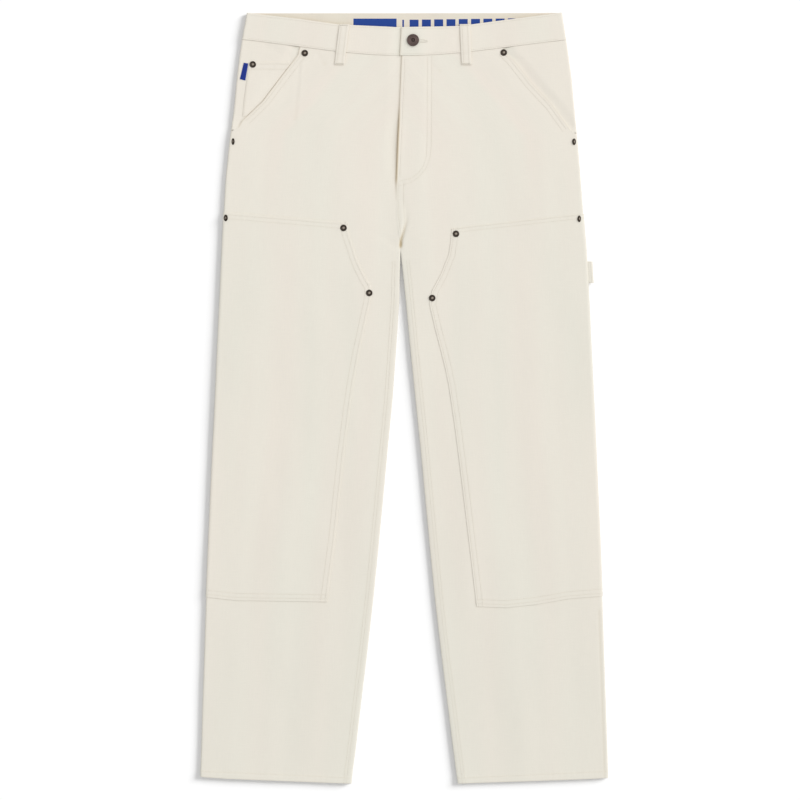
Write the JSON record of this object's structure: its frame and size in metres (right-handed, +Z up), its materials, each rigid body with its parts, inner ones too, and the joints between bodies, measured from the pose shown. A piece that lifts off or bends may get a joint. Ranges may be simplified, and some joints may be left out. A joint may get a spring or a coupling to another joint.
{
  "type": "double-knee carpenter jeans",
  "caption": "Relaxed straight carpenter jeans in ecru canvas, laid flat, with shaped knee patches, slant pockets, shank button and hammer loop.",
  "frame": {"origin": "centre of the base of the whole garment's box, on the surface that it lies on", "axes": "+Y from the hems to the waist, +Z up out of the front of the garment, +X to the wearer's left leg"},
  "size_m": [0.5714, 1.0796, 0.0105],
  "materials": {
    "canvas": "matte ecru cotton canvas",
    "canvas_band": "matte ecru cotton canvas, two layers",
    "canvas_patch": "matte ecru cotton canvas, sewn on",
    "woven_tab": "satin woven blue tape",
    "antique_metal": "dark antique brass"
  },
  "bodies": {
    "root": {"front_right": "canvas", "front_left": "canvas", "back_right": "canvas", "back_left": "canvas", "waistband_right": "canvas_band", "waistband_left": "canvas_band", "pocket_facing_right": "canvas", "pocket_facing_left": "canvas", "coin_pocket": "canvas", "knee_patch_right": "canvas_patch", "knee_patch_left": "canvas_patch", "belt_loop_right": "canvas_band", "belt_loop_left": "canvas_band", "hammer_loop": "canvas_band", "side_tab": "woven_tab", "button": "antique_metal", "rivet_pocket_top_right": "antique_metal", "rivet_coin_pocket": "antique_metal", "rivet_pocket_base_right": "antique_metal", "rivet_patch_side_right": "antique_metal", "rivet_patch_corner_right": "antique_metal", "rivet_patch_point_right": "antique_metal", "rivet_pocket_top_left": "antique_metal", "rivet_pocket_base_left": "antique_metal", "rivet_patch_side_left": "antique_metal", "rivet_patch_corner_left": "antique_metal", "rivet_patch_point_left": "antique_metal"}
  },
  "joints": []
}
